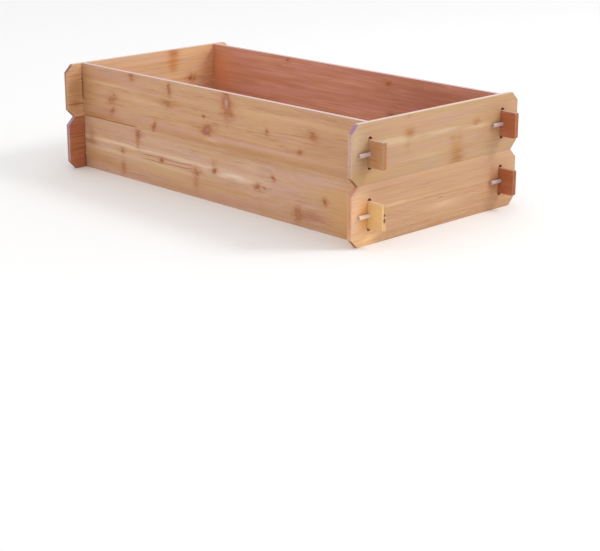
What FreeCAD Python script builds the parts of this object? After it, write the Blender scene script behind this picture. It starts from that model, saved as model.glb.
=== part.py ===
"""Raised garden bed of two stacked courses, knocked together from boards and dowel pegs.

Each course is two side boards and two end boards. A side board ends in a tenon that passes through an upright
slot in the end board, and a round peg through the tenon, against the outer face of the end board, locks the
corner. The courses sit loose on each other, and the bed is open at the top and the bottom.

Frame: X runs along the bed, the front side faces -Y, and Z is up. The origin is at the middle of the footprint
on the ground. Every size is in millimetres.
"""

import FreeCAD
import Part
import Sketcher
import math
import os

PARTS_FOLDER = "parts"
TOLERANCE = 0.001  # for a place in millimetres, a direction, and a cut's share of its volume

SIZES = {
    "overall_length": 1219,  # from tenon tip to tenon tip, 48 in
    "bed_width": 610,  # length of an end board, 24 in
    "course_height": 149,  # width of every board, 5 7/8 in
    "board_thickness": 12.7,  # 1/2 in
    "tenon_reach": 48,  # how far a tenon stands out of the end board
    "tenon_height": 66,
    "tenon_corner_radius": 4,
    "tenon_tip_chamfer": 1.6,
    "end_overhang": 55,  # from a side board's outer face to the tip of the end board
    "corner_cut": 22,  # 45 degree cut at each corner of an end board
    "slot_side_gap": 0.75,  # between the tenon's face and the slot, each side
    "slot_end_gap": 7.5,  # above and below the tenon
    "peg_diameter": 10,
    "peg_length": 84,
    "peg_chamfer": 1,
    "peg_hole_gap": 0.2,  # radial
    "peg_stand_off": 0.5,  # between the peg and the end board's outer face
}

COURSES = ("lower", "upper")
SIDES = {"front": -1, "back": 1}  # sign of Y
ENDS = {"left": -1, "right": 1}  # sign of X

# How a sketch's constraints name its own axis and origin, and the points of a line, an arc or a circle
ACROSS_AXIS = -1
ORIGIN = (-1, 1)
START, END, CENTRE = 1, 2, 3

# Where a sketch's lines and arcs are first drawn, before their dimensions pull them to size
FIRST_HALF_WIDTH = 100
FIRST_HALF_HEIGHT = 50
FIRST_RISE = 20
FIRST_RADIUS = 5

# Expressions over the sheet that more than one board needs
SHOULDER_LENGTH = "Sizes.overall_length - 2 * Sizes.tenon_reach - 2 * Sizes.board_thickness"
SIDE_OFFSET = "(Sizes.bed_width / 2 - Sizes.end_overhang - Sizes.board_thickness / 2)"
OUTER_FACE = "Sizes.overall_length / 2 - Sizes.tenon_reach"  # of the right end board
END_OFFSET = "(%s - Sizes.board_thickness / 2)" % OUTER_FACE
PEG_OFFSET = "(%s + Sizes.peg_stand_off + Sizes.peg_diameter / 2)" % OUTER_FACE
COURSE_MIDDLE = "Sizes.course_height * (%s + 0.5)"


def make_sheet(doc):
    """Put the driving dimensions in a spreadsheet, one named cell each."""
    sheet = doc.addObject("Spreadsheet::Sheet", "Sizes")
    for row, (name, value) in enumerate(SIZES.items(), start=1):
        cell = "B%d" % row
        sheet.set("A%d" % row, name)
        sheet.set(cell, str(value))
        sheet.setAlias(cell, name)
    doc.recompute()


def origin_plane(body, role):
    """The body's own origin plane with this role."""
    return next(plane for plane in body.Origin.OriginFeatures if plane.Role == role)


def new_sketch(body, name, role):
    """An empty sketch on the body's own origin plane with this role."""
    sketch = body.newObject("Sketcher::SketchObject", name)
    sketch.AttachmentSupport = (origin_plane(body, role), [""])
    sketch.MapMode = "FlatFace"
    return sketch


def bind(sketch, kind, references, value, expression):
    """Add one dimension to a sketch, tied to the sheet."""
    index = sketch.addConstraint(Sketcher.Constraint(kind, *references, value))
    sketch.setExpression("Constraints[%d]" % index, expression)


def add_rectangle(sketch, width, height):
    """A rectangle centred on the sketch's origin. width and height are expressions."""
    corners = [(-1, -1), (1, -1), (1, 1), (-1, 1)]
    points = [
        FreeCAD.Vector(FIRST_HALF_WIDTH * across, FIRST_HALF_HEIGHT * up, 0) for across, up in corners
    ]
    lines = [sketch.addGeometry(Part.LineSegment(points[i], points[(i + 1) % 4])) for i in range(4)]
    for i in range(4):
        sketch.addConstraint(Sketcher.Constraint("Coincident", lines[i], END, lines[(i + 1) % 4], START))
        direction = "Horizontal" if i % 2 == 0 else "Vertical"
        sketch.addConstraint(Sketcher.Constraint(direction, lines[i]))
    sketch.addConstraint(Sketcher.Constraint("Symmetric", lines[0], START, lines[2], START, *ORIGIN))
    bind(sketch, "DistanceX", (lines[0], START, lines[0], END), 2 * FIRST_HALF_WIDTH, width)
    bind(sketch, "DistanceY", (lines[1], START, lines[1], END), 2 * FIRST_HALF_HEIGHT, height)


def first_circle(across, up):
    """A circle of the first radius, to put in a sketch."""
    return Part.Circle(FreeCAD.Vector(across, up, 0), FreeCAD.Vector(0, 0, 1), FIRST_RADIUS)


def bind_offset(sketch, item, side, offset):
    """Tie how far a circle's or an arc's centre is from the origin, on the side given by the sign."""
    ends = (*ORIGIN, item, CENTRE) if side > 0 else (item, CENTRE, *ORIGIN)
    bind(sketch, "DistanceX", ends, FIRST_HALF_WIDTH, offset)


def add_circle(sketch, side, radius, offset):
    """A circle on the sketch's X axis, on the side given by the sign. radius and offset are expressions."""
    circle = sketch.addGeometry(first_circle(FIRST_HALF_WIDTH * side, 0))
    sketch.addConstraint(Sketcher.Constraint("PointOnObject", circle, CENTRE, ACROSS_AXIS))
    bind(sketch, "Radius", (circle,), FIRST_RADIUS, radius)
    bind_offset(sketch, circle, side, offset)


def add_upright_slot(sketch, side, radius, length, offset):
    """An upright slot with round ends, centred on the sketch's X axis. The sizes are expressions."""
    middle = FIRST_HALF_WIDTH * side
    upper_arc = sketch.addGeometry(Part.ArcOfCircle(first_circle(middle, FIRST_RISE), 0, math.pi))
    lower_arc = sketch.addGeometry(
        Part.ArcOfCircle(first_circle(middle, -FIRST_RISE), math.pi, 2 * math.pi)
    )
    foot_right = FreeCAD.Vector(middle + FIRST_RADIUS, -FIRST_RISE, 0)
    head_right = FreeCAD.Vector(middle + FIRST_RADIUS, FIRST_RISE, 0)
    foot_left = FreeCAD.Vector(middle - FIRST_RADIUS, -FIRST_RISE, 0)
    head_left = FreeCAD.Vector(middle - FIRST_RADIUS, FIRST_RISE, 0)
    right_line = sketch.addGeometry(Part.LineSegment(foot_right, head_right))
    left_line = sketch.addGeometry(Part.LineSegment(head_left, foot_left))
    round_trip = [right_line, upper_arc, left_line, lower_arc]
    for i, item in enumerate(round_trip):
        following = round_trip[(i + 1) % len(round_trip)]
        sketch.addConstraint(Sketcher.Constraint("Tangent", item, END, following, START))
    sketch.addConstraint(Sketcher.Constraint("Vertical", right_line))
    sketch.addConstraint(Sketcher.Constraint("Symmetric", upper_arc, CENTRE, lower_arc, CENTRE, ACROSS_AXIS))
    bind(sketch, "Radius", (upper_arc,), FIRST_RADIUS, radius)
    rise = "%s - 2 * (%s)" % (length, radius)
    bind(sketch, "DistanceY", (lower_arc, CENTRE, upper_arc, CENTRE), 2 * FIRST_RISE, rise)
    bind_offset(sketch, upper_arc, side, offset)


def add_pad(body, sketch, length):
    """Pad a sketch by the same amount on both sides of its plane. length is an expression."""
    pad = body.newObject("PartDesign::Pad", sketch.Name + "Pad")
    pad.Profile = sketch
    pad.Midplane = True
    pad.setExpression("Length", length)
    sketch.Document.recompute()


def add_pocket(body, sketch):
    """Cut a sketch right through the body, and stop if the cut isn't its area times the thickness."""
    before = body.Tip.Shape.Volume
    pocket = body.newObject("PartDesign::Pocket", sketch.Name + "Pocket")
    pocket.Profile = sketch
    pocket.Type = "ThroughAll"
    pocket.Midplane = True
    sketch.Document.recompute()
    removed = before - pocket.Shape.Volume
    area = sum(Part.Face(wire).Area for wire in sketch.Shape.Wires)
    expected = area * SIZES["board_thickness"]
    if abs(removed - expected) > TOLERANCE * expected:
        raise RuntimeError("%s cuts %.1f and not %.1f" % (pocket.Name, removed, expected))


def edges_where(shape, wanted):
    """Names of the edges for which wanted(edge) is true."""
    return ["Edge%d" % i for i, edge in enumerate(shape.Edges, start=1) if wanted(edge)]


def runs_along(edge, direction):
    """Whether a straight edge is parallel to the direction."""
    if edge.Curve.TypeId != "Part::GeomLine":
        return False
    return abs(edge.tangentAt(edge.FirstParameter).dot(direction)) > 1 - TOLERANCE


def dress(body, kind, wanted, size):
    """Add a Chamfer or a Fillet on the chosen edges. size is an expression."""
    base = body.Tip
    feature = body.newObject("PartDesign::" + kind, body.Name + kind)
    feature.Base = (base, edges_where(base.Shape, wanted))
    feature.setExpression("Size" if kind == "Chamfer" else "Radius", size)
    body.Document.recompute()


def place(body, along, across, up):
    """Move a body to its place. The three values are expressions."""
    for axis, expression in zip("xyz", (along, across, up)):
        body.setExpression("Placement.Base." + axis, expression)


def new_body(doc, label):
    """An empty body, whose label names its file."""
    body = doc.addObject("PartDesign::Body", "Body")
    body.Label = label
    return body


def make_side_board(doc, label):
    """A long board whose two tenons are narrower than it is, each with rounded and chamfered tips."""
    body = new_body(doc, label)
    board = new_sketch(body, "BoardOutline", "XZ_Plane")
    add_rectangle(board, SHOULDER_LENGTH, "Sizes.course_height")
    add_pad(body, board, "Sizes.board_thickness")
    tenons = new_sketch(body, "TenonOutline", "XZ_Plane")
    add_rectangle(tenons, "Sizes.overall_length", "Sizes.tenon_height")
    add_pad(body, tenons, "Sizes.board_thickness")

    tip = SIZES["overall_length"] / 2

    def at_tip(edge):
        return abs(abs(edge.CenterOfMass.x) - tip) < TOLERANCE

    def tip_corner(edge):
        return at_tip(edge) and runs_along(edge, FreeCAD.Vector(0, 1, 0))

    def tip_face_edge(edge):
        return at_tip(edge) and runs_along(edge, FreeCAD.Vector(0, 0, 1))

    dress(body, "Fillet", tip_corner, "Sizes.tenon_corner_radius")
    dress(body, "Chamfer", tip_face_edge, "Sizes.tenon_tip_chamfer")
    holes = new_sketch(body, "PegHoles", "XZ_Plane")
    for side in ENDS.values():
        add_circle(holes, side, "Sizes.peg_diameter / 2 + Sizes.peg_hole_gap", PEG_OFFSET)
    add_pocket(body, holes)
    return body


def make_end_board(doc, label):
    """A short board with its four corners cut off and an upright slot for each side board's tenon."""
    body = new_body(doc, label)
    board = new_sketch(body, "BoardOutline", "YZ_Plane")
    add_rectangle(board, "Sizes.bed_width", "Sizes.course_height")
    add_pad(body, board, "Sizes.board_thickness")

    def corner(edge):
        return runs_along(edge, FreeCAD.Vector(1, 0, 0))

    dress(body, "Chamfer", corner, "Sizes.corner_cut")
    slots = new_sketch(body, "TenonSlots", "YZ_Plane")
    radius = "Sizes.board_thickness / 2 + Sizes.slot_side_gap"
    length = "Sizes.tenon_height + 2 * Sizes.slot_end_gap"
    for side in SIDES.values():
        add_upright_slot(slots, side, radius, length, SIDE_OFFSET)
    add_pocket(body, slots)
    return body


def make_peg(doc, label):
    """A round dowel lying along Y, with a small chamfer at each end."""
    body = new_body(doc, label)
    section = new_sketch(body, "PegSection", "XZ_Plane")
    circle = section.addGeometry(first_circle(0, 0))
    section.addConstraint(Sketcher.Constraint("Coincident", circle, CENTRE, *ORIGIN))
    bind(section, "Radius", (circle,), FIRST_RADIUS, "Sizes.peg_diameter / 2")
    add_pad(body, section, "Sizes.peg_length")

    def rim(edge):
        return edge.Curve.TypeId == "Part::GeomCircle"

    dress(body, "Chamfer", rim, "Sizes.peg_chamfer")
    return body


def make_course(doc, course, level):
    """One course: two side boards, two end boards and four pegs, on the level counted from the ground."""
    middle = COURSE_MIDDLE % level
    bodies = []
    for side, side_sign in SIDES.items():
        body = make_side_board(doc, "%s_%s_board" % (course, side))
        place(body, "0", "%d * %s" % (side_sign, SIDE_OFFSET), middle)
        bodies.append(body)
    for end, end_sign in ENDS.items():
        body = make_end_board(doc, "%s_%s_end_board" % (course, end))
        place(body, "%d * %s" % (end_sign, END_OFFSET), "0", middle)
        bodies.append(body)
    for side, side_sign in SIDES.items():
        for end, end_sign in ENDS.items():
            body = make_peg(doc, "%s_%s_%s_peg" % (course, side, end))
            place(body, "%d * %s" % (end_sign, PEG_OFFSET), "%d * %s" % (side_sign, SIDE_OFFSET), middle)
            bodies.append(body)
    return bodies


def check(doc, bodies):
    """Stop if any object failed to recompute or any piece isn't one valid solid."""
    for item in doc.Objects:
        if "Invalid" in item.State or "Error" in item.State:
            raise RuntimeError("%s is in state %s" % (item.Name, item.State))
    for body in bodies:
        shape = body.Shape
        if shape.isNull() or not shape.isValid() or len(shape.Solids) != 1:
            raise RuntimeError("%s isn't one valid solid" % body.Label)


def write_parts(bodies):
    """Write each piece to a STEP file of its own, and print its volume."""
    os.makedirs(PARTS_FOLDER, exist_ok=True)
    for body in bodies:
        body.Shape.exportStep(os.path.join(PARTS_FOLDER, body.Label + ".step"))
        print("%-28s %12.1f mm3" % (body.Label, body.Shape.Volume))


def main():
    """Make the document, build both courses, check them and write them out."""
    doc = FreeCAD.newDocument("RaisedGardenBed")
    make_sheet(doc)
    bodies = []
    for level, course in enumerate(COURSES):
        bodies += make_course(doc, course, level)
    doc.recompute()
    check(doc, bodies)
    write_parts(bodies)


main()
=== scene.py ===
"""Raised garden bed of two stacked courses in western red cedar.

Each course is two side boards and two end boards. A side board ends in a tenon that passes through an
upright slot in the end board, and a dowel peg through the tenon locks the corner. The boards are planed,
unfinished cedar with knots, and the pegs are pale turned dowel.

Frame: X runs along the bed, the front side faces -Y, Z is up, and the origin is at the middle of the
footprint on the ground. Sizes of pieces are in metres. Sizes within the grain of a board are in millimetres.
"""

import logging
import math
from dataclasses import dataclass
from enum import Enum
from typing import Callable

import bmesh
import bpy
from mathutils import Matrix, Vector

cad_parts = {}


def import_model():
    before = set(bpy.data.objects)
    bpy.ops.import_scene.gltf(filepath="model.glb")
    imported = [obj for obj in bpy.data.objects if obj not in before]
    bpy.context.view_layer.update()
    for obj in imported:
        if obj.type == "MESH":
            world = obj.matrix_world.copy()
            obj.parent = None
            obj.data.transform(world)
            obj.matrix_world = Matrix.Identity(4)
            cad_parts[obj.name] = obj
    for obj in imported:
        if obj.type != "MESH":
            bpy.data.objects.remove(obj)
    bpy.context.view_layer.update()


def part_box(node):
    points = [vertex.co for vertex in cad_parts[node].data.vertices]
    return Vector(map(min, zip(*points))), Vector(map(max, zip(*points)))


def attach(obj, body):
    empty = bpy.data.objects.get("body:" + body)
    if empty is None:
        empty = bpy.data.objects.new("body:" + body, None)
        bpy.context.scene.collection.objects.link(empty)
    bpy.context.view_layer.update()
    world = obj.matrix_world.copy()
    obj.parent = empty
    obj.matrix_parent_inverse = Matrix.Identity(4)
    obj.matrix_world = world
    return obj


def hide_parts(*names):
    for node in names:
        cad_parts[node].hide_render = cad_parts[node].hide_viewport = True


log = logging.getLogger("garden_bed")

Socket = bpy.types.NodeSocket

MM = 0.001
PLACE_TOLERANCE = 0.05 * MM  # how near a corner or a face is to the plane that it is looked for on
SMOOTH_ANGLE = math.radians(30)
CUTTER_LENGTH = 0.05  # any length that goes right through a board
CUTTER_SIDES = 32
PIT_SPREAD = 1.25  # how much wider a loose knot's hole is below its middle
PIT_DETAIL = 2

# How many steps a bevel has
FLAT = 1
EASED = 2
RIM = 3
ROUND = 4

# The sRGB curve: a straight piece near black, then a power
SRGB_STRAIGHT_END = 0.04045
SRGB_STRAIGHT_SLOPE = 12.92
SRGB_OFFSET = 0.055
SRGB_POWER = 2.4


class Along(Enum):
    """Which way a piece's grain runs: the frame's axes along the grain, across its face and through it."""

    X = ("X", "Z", "Y")
    Y = ("Y", "Z", "X")


class Course(Enum):
    """The two courses, and the body that each one's boards ride on."""

    LOWER = "root"
    UPPER = "upper_course"

    @property
    def label(self) -> str:
        """The course's name as it stands in the nodes' names."""
        return self.name.lower()


class Kind(Enum):
    """The kinds of shader node that the finishes use."""

    COORDINATES = "ShaderNodeTexCoord"
    MATH = "ShaderNodeMath"
    VECTOR = "ShaderNodeVectorMath"
    SPLIT = "ShaderNodeSeparateXYZ"
    JOIN = "ShaderNodeCombineXYZ"
    NOISE = "ShaderNodeTexNoise"
    RANDOM = "ShaderNodeTexWhiteNoise"
    RANGE = "ShaderNodeMapRange"
    MIX = "ShaderNodeMix"
    BUMP = "ShaderNodeBump"
    GROUP = "ShaderNodeGroup"
    PRINCIPLED = "ShaderNodeBsdfPrincipled"
    OUTPUT = "ShaderNodeOutputMaterial"
    GROUP_IN = "NodeGroupInput"
    GROUP_OUT = "NodeGroupOutput"


def linear(hex_colour: str) -> tuple[float, float, float, float]:
    """Turn an sRGB hex colour to the linear values that a shader works in.

    Args:
        hex_colour: six hex digits after a #.

    Returns:
        Linear red, green and blue, and an alpha of 1.
    """
    values = [value / 255 for value in bytes.fromhex(hex_colour.lstrip("#"))]
    red, green, blue = (
        value / SRGB_STRAIGHT_SLOPE
        if value <= SRGB_STRAIGHT_END
        else ((value + SRGB_OFFSET) / (1 + SRGB_OFFSET)) ** SRGB_POWER
        for value in values
    )
    return red, green, blue, 1.0


class Graph:
    """A node tree that is being wired up."""

    def __init__(self, tree: bpy.types.NodeTree) -> None:
        """Start from an empty tree."""
        self.tree = tree
        tree.nodes.clear()

    def add(self, kind: Kind, inputs: list | dict, out: int | str | None = 0, **settings):
        """Add a node with its settings and links.

        Args:
            kind: which node.
            inputs: what goes in each input, by place or by name: a socket to link, or a plain value.
            out: the output to give back, by place or by name, or None for the node itself.
            settings: properties of the node.

        Returns:
            The output socket, or the node.
        """
        node = self.tree.nodes.new(kind.value)
        for name, value in settings.items():
            setattr(node, name, value)
        pairs = inputs.items() if isinstance(inputs, dict) else enumerate(inputs)
        for key, value in pairs:
            if isinstance(value, bpy.types.NodeSocket):
                self.tree.links.new(value, node.inputs[key])
            elif value is not None:
                node.inputs[key].default_value = value
        return node if out is None else node.outputs[out]


# Sockets of a Mix node that mixes colours
SHARE, UNDER, OVER, MIXED = 0, 6, 7, 2

# Makes both ends of a range soft
SOFT = {"interpolation_type": "SMOOTHSTEP"}

# Half the depth of a mark that shows on both faces of a board, in millimetres: far more than the board
GOES_THROUGH = 1000.0


@dataclass(frozen=True)
class Pattern:
    """A soft random pattern in the wood, by how long its features are."""

    lengths: tuple[float, float, float]  # along, up and through the board, in millimetres
    shift: float  # moves it, so that two patterns differ


# Patterns are long along the grain and short across it.
KNOT_EDGES = Pattern((16.0, 7.0, 12.0), 3.1)
LOG_BENDS = Pattern((420.0, 500.0, 500.0), 7.7)
RING_WAVES = Pattern((120.0, 16.0, 16.0), 1.9)
STREAK_SWAY = Pattern((90.0, 60.0, 60.0), 4.4)
TINT_EDGES = Pattern((60.0, 5.0, 5.0), 6.2)
BANDS = Pattern((300.0, 7.0, 7.0), 5.3)
DRIFTS = Pattern((240.0, 26.0, 60.0), 2.4)
GLOWS = Pattern((170.0, 15.0, 60.0), 8.6)
FIBRE_SHIFT = 9.1
SEED_SKEW = 0.37  # keeps the seed's two moves of a pattern apart
PATTERN_DETAIL = 3.0
PATTERN_ROUGHNESS = 0.55
PATTERN_SPAN = (0.2, 0.8)  # nearly all of a pattern's values are between these
PATTERN_CENTRE = (0.5, 0.5, 0.5)
TO_WHOLE = 2  # a pattern strays by half from its centre, so this much makes a whole
EACH_WAY = (-1.0, 1.0)
NONE_TO_ALL = (0.0, 1.0)
ALL_TO_NONE = (1.0, 0.0)

# A knot, in shares of the way from its middle to its outline
OUTLINE = 1.0
HEART_WIDTH = 0.5
HEART_RAGGEDNESS = 0.35  # how much of the outline's raggedness the pale heart has
HALO_WIDTH = 1.6
WING_SHAPE = (0.34, 1.7, 0.0)  # the halo's wings run far along the grain and little across it
FLOW_REACH = (2.6, 1.8, 1.0)  # how far past the knot it pushes the grain aside
FLOW_PUSH = -0.85  # how far it pushes, for each millimetre up from the knot's middle
HALO_AMOUNT = 0.55
CORE_AMOUNT = 0.9
HEART_AMOUNT = 1.0

# A growth ring, in shares of its width, and how the rings differ
LATE_WOOD = (0.3, 0.86)  # where it darkens
NEXT_RING = (0.88, 1.0)  # where it turns light again
FAINTEST_RING = 0.35
RING_WAVE_DEPTH = 7.0  # millimetres
ACROSS_GRAIN = (0.0, 1.0, 1.0)  # leaves out the way along it

# Streaks and tints
STREAK_CORE = 0.3  # the share of its width that has its full tone
STREAK_FADE = 30.0  # how far from its end it starts to fade, in millimetres
STREAK_FADE_SHARE = 1 / 3  # the most of its length that each fade takes
STREAK_PARTING = 0.4  # how much of the grain's push round a knot it follows
TINT_RAGGEDNESS = 0.6

# End grain, and the painted sky sheen, painted highlights and painted shade that depend on how a face is
# turned. Facing is from 0, side on, to 1, full on.
END_FACING = (0.4, 0.65)
END_RING_TONE = 0.72
# Painted highlight: a pale tone on the eased corners, where they catch the light
EASED_FACING = (0.02, 0.2)
EASED_HIGHLIGHT_SHARE = 0.35
EASED_HIGHLIGHT_TONE = "#E2CBB8"
TOP_FACING = (0.72, 0.95)
OPEN_SKY = (20.0, 48.0)  # where the painted sky sheen starts, from sheltered to open, in millimetres above the board's middle
CUT_FACING = math.cos(math.pi / 4)
CUT_FACING_WIDTH = 0.1

# The planed surface
PLAIN_TONE = 0.42  # the value of a band or a fibre that leaves the tone as it is
DRIFT_SPAN = (0.4, 0.64)
RELIEF = 0.3 * MM
RELIEF_STRENGTH = 0.35
FIBRE_SPAN = (0.3, 0.7)
SMOOTHER = -0.06
ROUGHER = 0.08
WOOD_IOR = 1.45


@dataclass(frozen=True)
class Knot:
    """A branch that the saw went through, seen on a board's face. Sizes are in millimetres."""

    along: float
    up: float
    half_length: float
    half_height: float
    tone: float = 0.8  # how dark it is, from 0 to 1
    lean: float = 0.0  # how far it moves along the board for each millimetre up
    pale_heart: float = 0.0  # how much of its middle is pale


@dataclass(frozen=True)
class Tint:
    """A soft patch of another colour on a board's face: mostly the wood's own colour, and some painted shade
    and painted reflected light. Sizes are in millimetres.
    """

    along: float
    up: float
    half_length: float
    half_height: float
    colour: str
    amount: float = 0.5
    lean: float = 0.0
    through: float = 0.0  # where its middle is in the board's thickness
    half_depth: float = GOES_THROUGH


@dataclass(frozen=True)
class Streak:
    """A dark line that follows the grain: mostly resin lines, and one line of painted shade along the seam
    under the upper front board. Sizes are in millimetres.
    """

    start: float
    end: float
    up: float
    width: float = 1.6
    tone: float = 0.5
    rise: float = 0.0  # how far it climbs for each millimetre along
    sway: float = 1.0  # how far it strays up and down


def bell(graph: Graph, distance: Socket, width: float) -> Socket:
    """Add a bell curve: 1 where the distance is nothing, falling to 0 well past the width.

    Args:
        graph: the tree to add to.
        distance: the distance's socket.
        width: where the curve has fallen to about a third.

    Returns:
        The curve's socket.
    """
    share = graph.add(Kind.MATH, [distance, width], operation="DIVIDE")
    square = graph.add(Kind.MATH, [share, share], operation="MULTIPLY")
    fall = graph.add(Kind.MATH, [square, -1.0], operation="MULTIPLY")
    return graph.add(Kind.MATH, [fall], operation="EXPONENT")


def spot_tree() -> bpy.types.NodeTree:
    """Build the group that says how far a point is from a soft-edged spot in a board.

    Returns:
        A group with the distance, 1 at the outline, and the offset from the middle, in millimetres.
    """
    tree = bpy.data.node_groups.new("BoardSpot", "ShaderNodeTree")
    for name in ("Board", "Centre", "Size"):
        tree.interface.new_socket(name, in_out="INPUT", socket_type="NodeSocketVector")
    tree.interface.new_socket("Lean", in_out="INPUT", socket_type="NodeSocketFloat")
    tree.interface.new_socket("Distance", in_out="OUTPUT", socket_type="NodeSocketFloat")
    tree.interface.new_socket("Offset", in_out="OUTPUT", socket_type="NodeSocketVector")
    graph = Graph(tree)
    given = graph.add(Kind.GROUP_IN, [], out=None)
    offset = graph.add(Kind.VECTOR, [given.outputs["Board"], given.outputs["Centre"]], operation="SUBTRACT")
    parts = graph.add(Kind.SPLIT, [offset], out=None)
    slide = graph.add(Kind.MATH, [parts.outputs["Y"], given.outputs["Lean"]], operation="MULTIPLY")
    along = graph.add(Kind.MATH, [parts.outputs["X"], slide], operation="SUBTRACT")
    leant = graph.add(Kind.JOIN, [along, parts.outputs["Y"], parts.outputs["Z"]])
    share = graph.add(Kind.VECTOR, [leant, given.outputs["Size"]], operation="DIVIDE")
    reach = graph.add(Kind.VECTOR, [share], out="Value", operation="LENGTH")
    graph.add(Kind.GROUP_OUT, {"Distance": reach, "Offset": leant}, out=None)
    return tree


def knot_tree(spot: bpy.types.NodeTree) -> bpy.types.NodeTree:
    """Build the group for one knot: what it looks like, and how the grain flows round it.

    Args:
        spot: the group that measures the distance from an ellipse.

    Returns:
        A group. Its Look holds core, pale heart and halo. Its Push is the grain's shift, in millimetres.
    """
    tree = bpy.data.node_groups.new("CedarKnot", "ShaderNodeTree")
    for name in ("Board", "Centre", "Size"):
        tree.interface.new_socket(name, in_out="INPUT", socket_type="NodeSocketVector")
    for name in ("Lean", "Tone", "Heart", "Ragged"):
        tree.interface.new_socket(name, in_out="INPUT", socket_type="NodeSocketFloat")
    tree.interface.new_socket("Look", in_out="OUTPUT", socket_type="NodeSocketVector")
    tree.interface.new_socket("Push", in_out="OUTPUT", socket_type="NodeSocketFloat")
    graph = Graph(tree)
    given = graph.add(Kind.GROUP_IN, [], out=None)
    place = {name: given.outputs[name] for name in ("Board", "Centre", "Size", "Lean")}
    measured = graph.add(Kind.GROUP, place, out=None, node_tree=spot)
    distance = graph.add(Kind.MATH, [measured.outputs["Distance"], given.outputs["Ragged"]], operation="ADD")
    core = bell(graph, distance, OUTLINE)
    calm = graph.add(Kind.MATH, [given.outputs["Ragged"], HEART_RAGGEDNESS], operation="MULTIPLY")
    heart_distance = graph.add(Kind.MATH, [measured.outputs["Distance"], calm], operation="ADD")
    heart = bell(graph, heart_distance, HEART_WIDTH)
    pale = graph.add(Kind.MATH, [heart, given.outputs["Heart"]], operation="MULTIPLY")
    round_halo = bell(graph, distance, HALO_WIDTH)
    share = graph.add(Kind.VECTOR, [measured.outputs["Offset"], given.outputs["Size"]], operation="DIVIDE")
    wing_flat = graph.add(Kind.VECTOR, [share, WING_SHAPE], operation="MULTIPLY")
    wing_reach = graph.add(Kind.VECTOR, [wing_flat], out="Value", operation="LENGTH")
    wing = bell(graph, wing_reach, OUTLINE)
    halo = graph.add(Kind.MATH, [round_halo, wing], operation="MAXIMUM")
    look = graph.add(Kind.JOIN, [core, pale, halo])
    toned = graph.add(Kind.VECTOR, {0: look, "Scale": given.outputs["Tone"]}, operation="SCALE")
    wide = graph.add(Kind.VECTOR, [given.outputs["Size"], FLOW_REACH], operation="MULTIPLY")
    flow = graph.add(Kind.VECTOR, [measured.outputs["Offset"], wide], operation="DIVIDE")
    flow_reach = graph.add(Kind.VECTOR, [flow], out="Value", operation="LENGTH")
    flow_share = bell(graph, flow_reach, OUTLINE)
    height = graph.add(Kind.SPLIT, [measured.outputs["Offset"]], out="Y")
    push = graph.add(Kind.MATH, [height, flow_share], operation="MULTIPLY")
    push_back = graph.add(Kind.MATH, [push, FLOW_PUSH], operation="MULTIPLY")
    graph.add(Kind.GROUP_OUT, {"Look": toned, "Push": push_back}, out=None)
    return tree


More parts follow.
